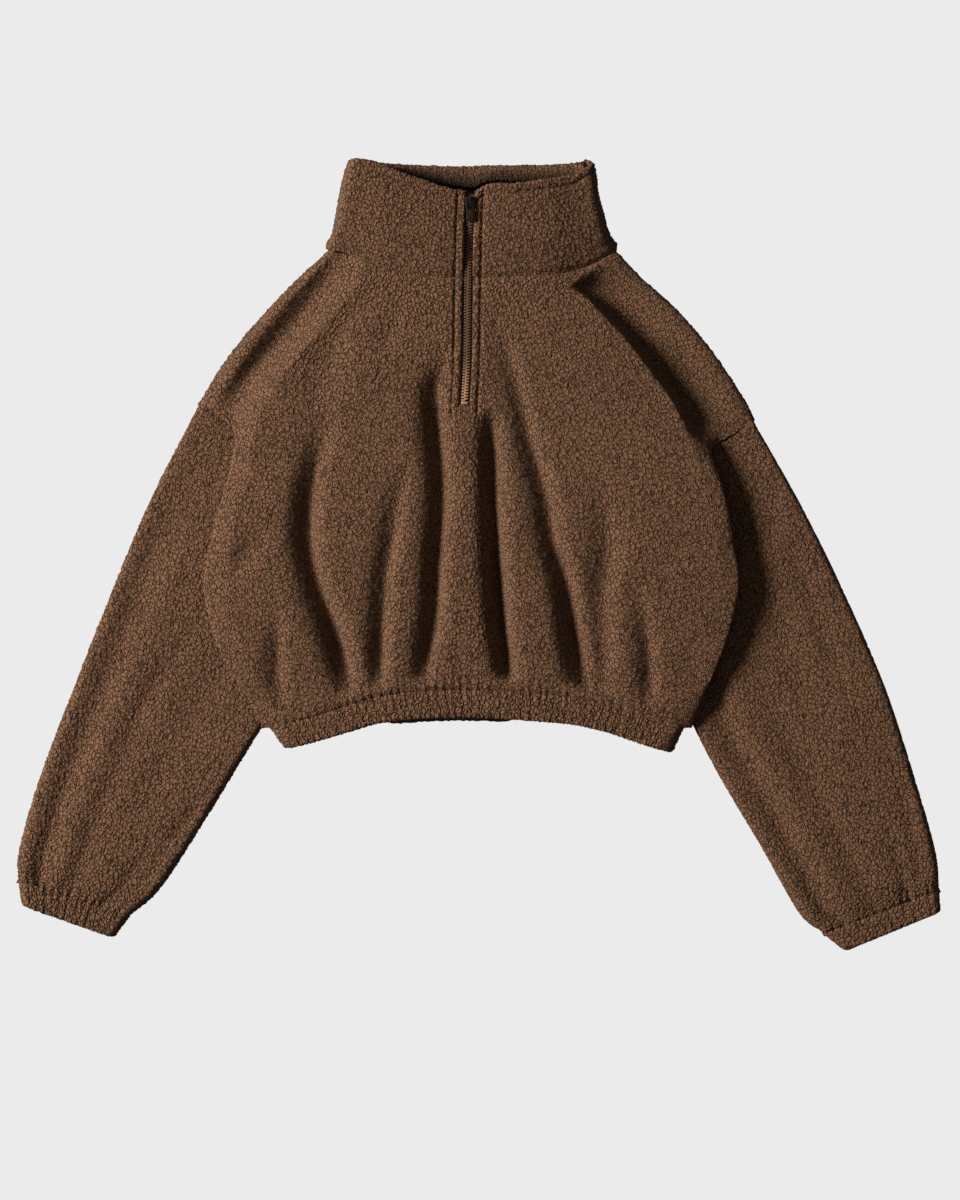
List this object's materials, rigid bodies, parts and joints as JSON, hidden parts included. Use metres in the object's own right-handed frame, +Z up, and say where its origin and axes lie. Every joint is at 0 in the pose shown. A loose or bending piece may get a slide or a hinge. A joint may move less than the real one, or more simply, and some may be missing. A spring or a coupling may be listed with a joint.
{
  "type": "quarter-zip stand-collar fleece pullover, laid flat",
  "caption": "Cropped fleece pullover with a stand collar, short front zip, drop shoulders, gathered hem and cuffs, lying flat on its back with its sleeves spread",
  "frame": {"origin": "on the surface the garment lies on, under the middle of its outline", "axes": "+X to the garment's right-hand side as seen from above, +Y toward the collar, +Z up off the surface; front of the garment faces +Z"},
  "size_m": [0.9727, 0.8349, 0.0422],
  "materials": {
    "fleece": "brown high-pile sherpa fleece, nubby curled pile",
    "zip_tape": "dark brown woven zip tape",
    "zip_teeth": "brown moulded teeth",
    "zip_metal": "dark brown enamelled slider and pull"
  },
  "bodies": {
    "garment": {"front": "fleece", "back": "fleece", "sleeve_left": "fleece", "sleeve_right": "fleece", "collar": "fleece", "hem_band": "fleece", "cuff_left": "fleece", "cuff_right": "fleece", "zip_tape_left": "zip_tape", "zip_tape_right": "zip_tape", "zip_chain": "zip_teeth", "zip_bottom_stop": "zip_teeth", "zip_slider": "zip_metal"},
    "pull_tab": {"zip_pull": "zip_metal"}
  },
  "joints": [
    {"name": "pull_tab_swing", "type": "hinge", "parent": "garment", "child": "pull_tab", "pos_m": [-0.01013, 0.371, 0.03977], "axis": [-1, 0, 0], "range_deg": [0, 165]}
  ]
}
